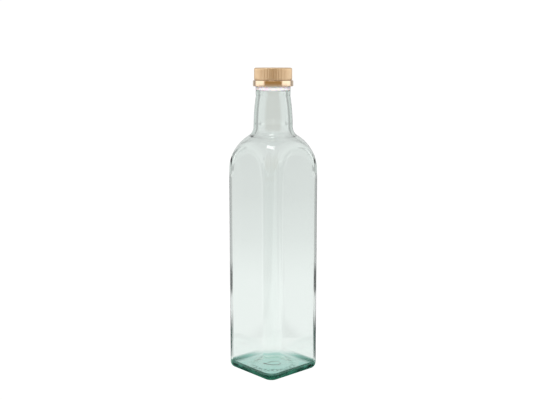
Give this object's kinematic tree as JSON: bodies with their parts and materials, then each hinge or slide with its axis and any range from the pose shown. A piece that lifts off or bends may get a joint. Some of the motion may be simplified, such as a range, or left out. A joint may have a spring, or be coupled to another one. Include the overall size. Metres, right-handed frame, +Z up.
{
  "type": "glass oil bottle",
  "caption": "Square clear-green glass bottle with a domed shoulder, round neck, white pouring insert and gold fluted screw cap over a tamper band.",
  "frame": {"origin": "centre of the base, on the surface that the bottle stands on", "axes": "+Z up along the neck; the four flat panels face +X, -X, +Y and -Y"},
  "size_m": [0.0576, 0.0576, 0.2576],
  "materials": {
    "green_glass": "clear, pale green",
    "white_plastic": "smooth moulded",
    "insert_plastic": "smooth moulded",
    "gold_gloss": "mirror-like gold metallising",
    "gold_satin": "satin gold metallising, fluted",
    "liner_foam": "closed-cell foam"
  },
  "bodies": {
    "bottle": {"glass_bottle": "green_glass", "pourer_body": "white_plastic", "pour_spout": "white_plastic", "flow_insert": "insert_plastic"},
    "band": {"tamper_band": "gold_gloss"},
    "liner": {"cap_liner": "liner_foam"},
    "cap": {"cap_shell": "gold_satin", "cap_inner": "white_plastic"}
  },
  "joints": [
    {"name": "band_spin", "type": "hinge", "parent": "bottle", "child": "band", "pos_m": [0, 0, 0.2449], "axis": [0, 0, 1], "continuous": true},
    {"name": "cap_lift", "type": "slide", "parent": "bottle", "child": "liner", "axis": [0, 0, 1], "range_m": [0, 0.0121]},
    {"name": "cap_turn", "type": "hinge", "parent": "liner", "child": "cap", "pos_m": [0, 0, 0.2525], "axis": [0, 0, 1], "range_deg": [0, 1440]}
  ],
  "couplings": [
    {"joint": "cap_lift", "follows": "cap_turn", "m_per_rad": 0.00047746}
  ]
}
